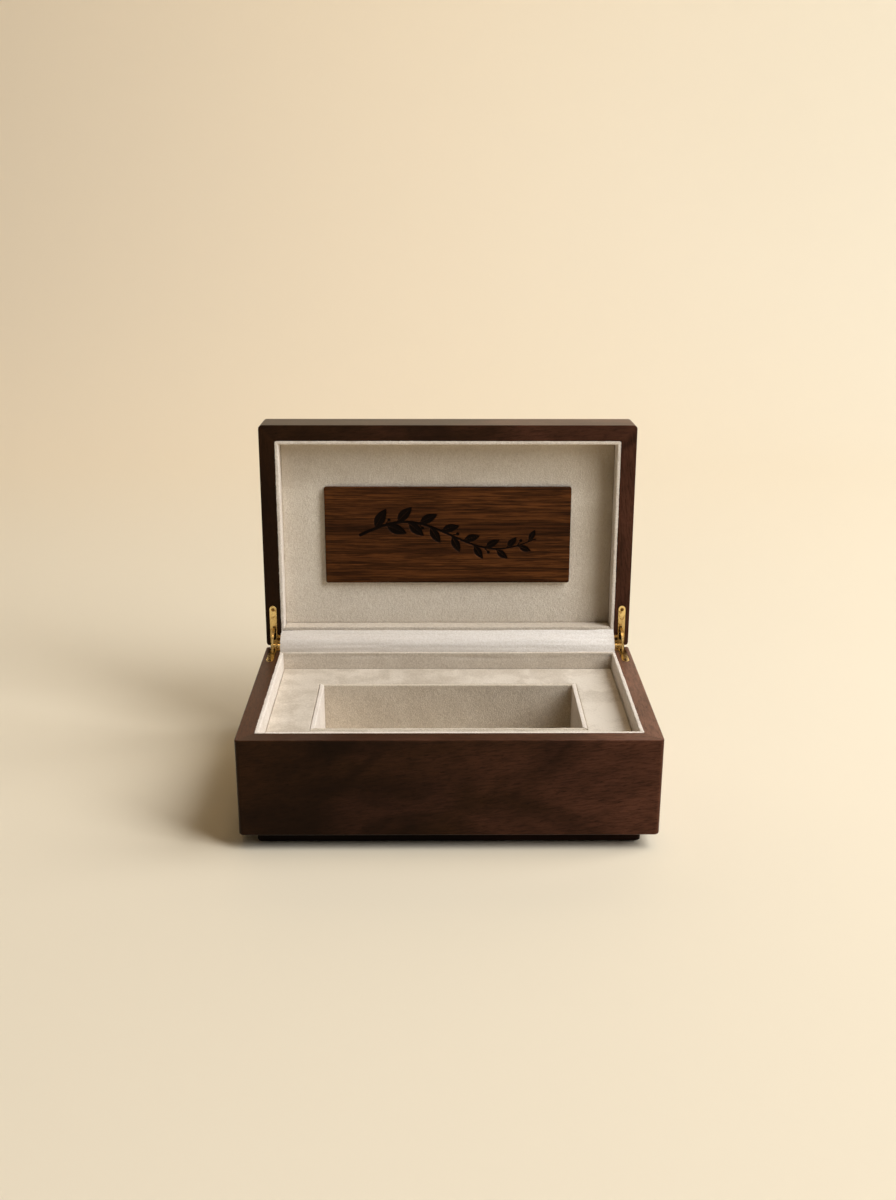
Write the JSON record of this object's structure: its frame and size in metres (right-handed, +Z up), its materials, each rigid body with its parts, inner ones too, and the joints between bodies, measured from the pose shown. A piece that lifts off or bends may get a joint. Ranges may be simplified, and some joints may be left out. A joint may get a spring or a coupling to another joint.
{
  "type": "keepsake box",
  "caption": "Wooden keepsake box with a suede-lined inside, a fixed insert with a deep compartment, a blank plaque in the lid and brass stay hinges.",
  "frame": {"origin": "on the table, at the middle of the box's underside", "axes": "+X to the right seen from the front, +Y from the front to the hinged back, +Z up"},
  "size_m": [0.24, 0.1831, 0.2161],
  "materials": {
    "walnut": "satin",
    "plaque_walnut": "satin",
    "suede": "brushed suede",
    "felt": "felt",
    "brass": "polished"
  },
  "bodies": {
    "base": {"base_front_wall": "walnut", "base_back_wall": "walnut", "base_left_wall": "walnut", "base_right_wall": "walnut", "base_bottom_panel": "walnut", "plinth_board": "walnut", "underside_felt": "felt", "base_lining_front": "suede", "base_lining_back": "suede", "base_lining_left": "suede", "base_lining_right": "suede", "base_rim_strip": "suede", "tray_panel": "suede", "recess_front_wall": "suede", "recess_back_wall": "suede", "recess_left_wall": "suede", "recess_right_wall": "suede", "recess_floor": "suede", "hinge_left_base_leaf": "brass", "hinge_left_pin": "brass", "hinge_left_base_arm_screw": "brass", "hinge_left_base_foot_screw": "brass", "hinge_right_base_leaf": "brass", "hinge_right_pin": "brass", "hinge_right_base_arm_screw": "brass", "hinge_right_base_foot_screw": "brass"},
    "lid": {"lid_top_board": "walnut", "lid_front_wall": "walnut", "lid_back_wall": "walnut", "lid_left_wall": "walnut", "lid_right_wall": "walnut", "lid_lining_front": "suede", "lid_lining_back": "suede", "lid_lining_left": "suede", "lid_lining_right": "suede", "lid_padded_panel": "suede", "lid_rim_strip": "suede", "wood_plaque": "plaque_walnut", "hinge_left_lid_leaf": "brass", "hinge_left_lid_arm_screw": "brass", "hinge_left_lid_foot_screw": "brass", "hinge_right_lid_leaf": "brass", "hinge_right_lid_arm_screw": "brass", "hinge_right_lid_foot_screw": "brass"},
    "left_stay": {"hinge_left_stay": "brass"},
    "right_stay": {"hinge_right_stay": "brass"}
  },
  "joints": [
    {"name": "lid_hinge", "type": "hinge", "parent": "base", "child": "lid", "pos_m": [0, 0.0735, 0.0692], "axis": [1, 0, 0], "range_deg": [0, 92]},
    {"name": "left_stay_swing", "type": "hinge", "parent": "base", "child": "left_stay", "pos_m": [-0.1146, 0.0735, 0.0692], "axis": [1, 0, 0], "range_deg": [0, 46]},
    {"name": "right_stay_swing", "type": "hinge", "parent": "base", "child": "right_stay", "pos_m": [0.1146, 0.0735, 0.0692], "axis": [1, 0, 0], "range_deg": [0, 46]}
  ],
  "couplings": [
    {"joint": "left_stay_swing", "follows": "lid_hinge", "ratio": 0.5},
    {"joint": "right_stay_swing", "follows": "lid_hinge", "ratio": 0.5}
  ]
}
